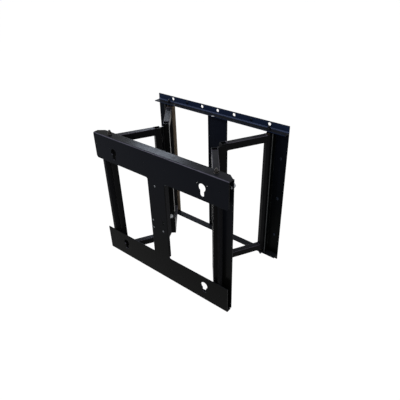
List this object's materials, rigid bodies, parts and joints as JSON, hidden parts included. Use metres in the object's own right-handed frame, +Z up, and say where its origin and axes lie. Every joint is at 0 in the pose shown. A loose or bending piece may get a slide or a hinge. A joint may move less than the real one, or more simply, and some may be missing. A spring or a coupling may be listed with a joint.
{
  "type": "tv wall mount",
  "caption": "Pop-out wall mount for a flat screen: wall frame and keyhole front frame joined by folding welded gates, shown half pulled out.",
  "frame": {"origin": "centre of the wall frame's back face, on the wall plane", "axes": "+X right as seen from the screen side, +Y into the wall (the screen side faces -Y), +Z up"},
  "size_m": [0.6385, 0.3886, 0.584],
  "materials": {
    "black_powder_coat": "satin black powder coat",
    "brown_coat": "dull brown coat",
    "zinc_steel": "dark dull zinc plate",
    "brass": "dull bronze",
    "black_screw": "black oxide",
    "black_nylon": "matte nylon",
    "spring_steel": "drawn wire"
  },
  "bodies": {
    "wall_frame": {"wall_top_rail": "black_powder_coat", "wall_bottom_rail": "black_powder_coat", "wall_upright_left": "black_powder_coat", "wall_upright_right": "black_powder_coat", "wall_backing_strip_left": "brown_coat", "wall_backing_strip_right": "black_powder_coat", "wall_centre_channel": "black_powder_coat", "wall_rail_screws": "black_screw", "wall_upright_screws": "black_screw", "wall_pivot_studs": "zinc_steel", "wall_pivot_nuts": "zinc_steel", "wall_pivot_spacers": "brass", "latch_striker": "zinc_steel"},
    "rear_gate_left": {"rear_left_hinge_tube": "black_powder_coat", "rear_left_elbow_tube": "black_powder_coat", "rear_left_top_tube": "black_powder_coat", "rear_left_bottom_tube": "black_powder_coat", "rear_left_elbow_leaf": "black_powder_coat", "rear_left_pivot_bushes": "black_nylon", "elbow_pin_left": "zinc_steel"},
    "front_gate_left": {"front_left_hinge_tube": "black_powder_coat", "front_left_elbow_tube": "black_powder_coat", "front_left_top_tube": "black_powder_coat", "front_left_bottom_tube": "black_powder_coat", "front_left_elbow_leaf": "black_powder_coat", "front_left_pivot_bushes": "black_nylon"},
    "rear_gate_right": {"rear_right_hinge_tube": "black_powder_coat", "rear_right_elbow_tube": "black_powder_coat", "rear_right_top_tube": "black_powder_coat", "rear_right_bottom_tube": "black_powder_coat", "rear_right_elbow_leaf": "black_powder_coat", "rear_right_pivot_bushes": "black_nylon", "elbow_pin_right": "zinc_steel"},
    "front_gate_right": {"front_right_hinge_tube": "black_powder_coat", "front_right_elbow_tube": "black_powder_coat", "front_right_top_tube": "black_powder_coat", "front_right_bottom_tube": "black_powder_coat", "front_right_elbow_leaf": "black_powder_coat", "front_right_pivot_bushes": "black_nylon"},
    "front_frame": {"front_plate": "black_powder_coat", "front_upright_left": "black_powder_coat", "front_upright_right": "black_powder_coat", "front_pivot_studs": "zinc_steel", "front_pivot_nuts": "zinc_steel", "front_pivot_washers": "brass", "side_bolt": "zinc_steel", "web_screws": "black_screw", "latch_bracket": "zinc_steel", "latch_pin": "zinc_steel", "latch_spring": "spring_steel"},
    "latch_pawl": {"latch_pawl": "zinc_steel"}
  },
  "joints": [
    {"name": "rear_left_hinge", "type": "hinge", "parent": "wall_frame", "child": "rear_gate_left", "pos_m": [-0.237, -0.02, 0], "axis": [0, 0, 1], "range_deg": [-5, 51]},
    {"name": "elbow_left", "type": "hinge", "parent": "rear_gate_left", "child": "front_gate_left", "pos_m": [-0.12109, -0.1822, 0], "axis": [0, 0, 1], "range_deg": [-112.6, 11.1]},
    {"name": "front_left_hinge", "type": "hinge", "parent": "front_gate_left", "child": "front_frame", "pos_m": [-0.2055, -0.36281, 0], "axis": [0, 0, 1], "range_deg": [-6.1, 61.6]},
    {"name": "rear_right_hinge", "type": "hinge", "parent": "wall_frame", "child": "rear_gate_right", "pos_m": [0.237, -0.02, 0], "axis": [0, 0, 1], "range_deg": [-61.6, 6.1]},
    {"name": "elbow_right", "type": "hinge", "parent": "rear_gate_right", "child": "front_gate_right", "pos_m": [0.15259, -0.20061, 0], "axis": [0, 0, 1], "range_deg": [-11.1, 112.6]},
    {"name": "latch_pawl_pivot", "type": "hinge", "parent": "front_frame", "child": "latch_pawl", "pos_m": [0.0535, -0.37281, 0.004], "axis": [1, 0, 0], "range_deg": [-12, 8], "stiffness_Nm_per_rad": 0.3}
  ],
  "couplings": [
    {"joint": "elbow_left", "follows": "rear_left_hinge", "ratio": -2.2059},
    {"joint": "front_left_hinge", "follows": "rear_left_hinge", "ratio": 1.2059},
    {"joint": "rear_right_hinge", "follows": "rear_left_hinge", "ratio": -1.2059},
    {"joint": "elbow_right", "follows": "rear_left_hinge", "ratio": 2.2059}
  ]
}
